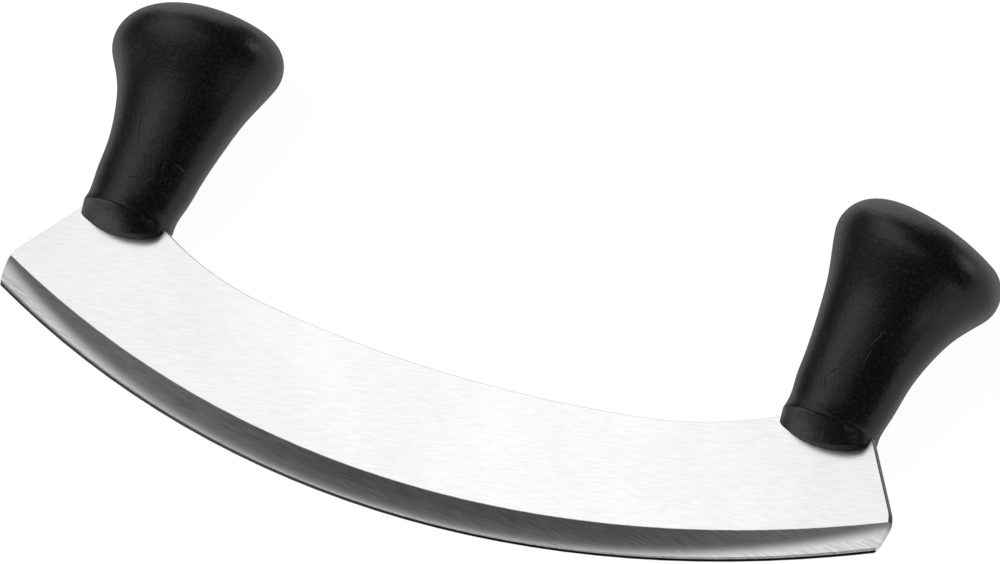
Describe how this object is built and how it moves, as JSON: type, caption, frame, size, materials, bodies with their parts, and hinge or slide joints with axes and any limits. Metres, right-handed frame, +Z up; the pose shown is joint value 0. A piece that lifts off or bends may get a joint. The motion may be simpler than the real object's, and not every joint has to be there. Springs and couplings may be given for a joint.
{
  "type": "mezzaluna",
  "caption": "Crescent herb chopper: bright steel blade with a ground bevel along its curved edge and a flared black knob handle rising from each end.",
  "frame": {"origin": "centre of the bounding box on the table the part lies on", "axes": "the part lies on its back, front face up: +X along the blade from left handle to right handle, +Y from the cutting edge towards the heads of the handles, +Z up from the table"},
  "size_m": [0.24, 0.0918, 0.0305],
  "materials": {
    "blade_steel": "fine lengthwise satin brushing on the flats, coarser grinding on the bevels, stainless",
    "handle_plastic": "satin moulded black plastic"
  },
  "bodies": {
    "root": {"blade": "blade_steel", "left_handle": "handle_plastic", "right_handle": "handle_plastic"}
  },
  "joints": []
}
